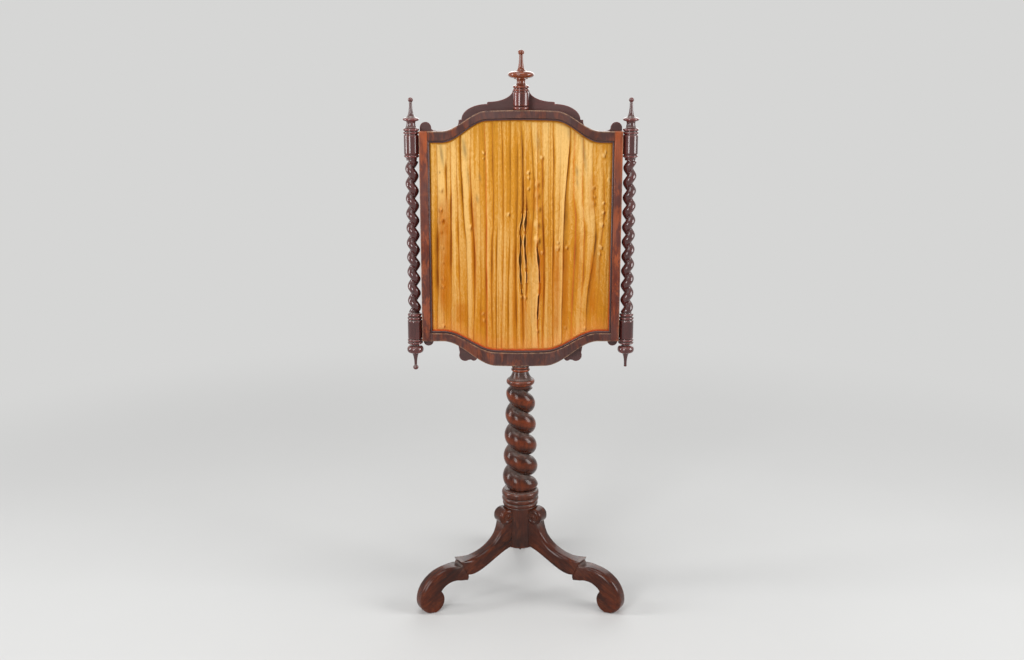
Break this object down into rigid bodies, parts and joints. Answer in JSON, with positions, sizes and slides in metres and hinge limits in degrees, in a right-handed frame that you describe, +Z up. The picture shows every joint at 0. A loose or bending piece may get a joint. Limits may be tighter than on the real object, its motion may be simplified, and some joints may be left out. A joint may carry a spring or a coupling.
{
  "type": "pole screen",
  "caption": "Standing pole screen: pleated silk panel in a shaped frame with twisted side columns and turned finials, on a sliding, turning pole in a twisted column with a scroll-legged tripod.",
  "frame": {"origin": "on the floor, at the middle of the part's footprint box; the column's axis stands 58.1 mm nearer the front, at Y = -0.0581 m", "axes": "+Z up along the column, +X to the right as one looks at the silk, +Y away from the silk's side, towards the rear leg"},
  "size_m": [0.4954, 0.3978, 1.2],
  "materials": {
    "mahogany": "French-polished red-brown mahogany, glossy and worn",
    "stile_wood": "polished red-brown wood with straight upright grain",
    "cross_veneer": "polished cross-banded veneer, greyer brown with short upright grain",
    "slip_wood": "dark polished wood with a worn light edge",
    "rosewood": "dark purple-brown polished rosewood with dusty hollows",
    "finial_wood": "polished orange-brown turned wood",
    "silk": "gathered gold silk, faded and stained, orange at the folds and edges",
    "backing_wood": "plain unpolished pine, brown with age",
    "dowel_wood": "plain beech",
    "screw_iron": "dark iron with a filed slot",
    "spring_steel": "blued spring steel, rubbed bright"
  },
  "bodies": {
    "base": {"column_base": "mahogany", "column_twist": "mahogany", "column_cap": "mahogany", "base_screw": "screw_iron", "leg_left": "mahogany", "leg_right": "mahogany", "leg_rear": "mahogany", "leg_dowels": "dowel_wood"},
    "pole": {"pole": "mahogany", "pole_collar": "mahogany", "pole_spring": "spring_steel"},
    "screen": {"stile_left": "stile_wood", "stile_right": "stile_wood", "top_rail": "cross_veneer", "bottom_rail": "cross_veneer", "slip_left": "slip_wood", "slip_right": "slip_wood", "slip_top": "slip_wood", "slip_bottom": "slip_wood", "silk_panel": "silk", "backing_board": "backing_wood", "bead_left": "backing_wood", "bead_right": "backing_wood", "bead_top": "backing_wood", "bead_bottom": "backing_wood", "crest_board": "rosewood", "apron_board": "rosewood", "board_screws": "screw_iron", "centre_finial": "finial_wood", "side_cap_left": "rosewood", "side_cap_right": "rosewood", "side_twist_left": "rosewood", "side_twist_right": "rosewood", "side_drop_left": "rosewood", "side_drop_right": "rosewood", "side_dowels": "dowel_wood"}
  },
  "joints": [
    {"name": "height_slide", "type": "slide", "parent": "base", "child": "pole", "axis": [0, 0, 1], "range_m": [0, 0.2]},
    {"name": "screen_swivel", "type": "hinge", "parent": "pole", "child": "screen", "pos_m": [0, -0.05863, 0.529], "axis": [0, 0, 1], "continuous": true}
  ]
}
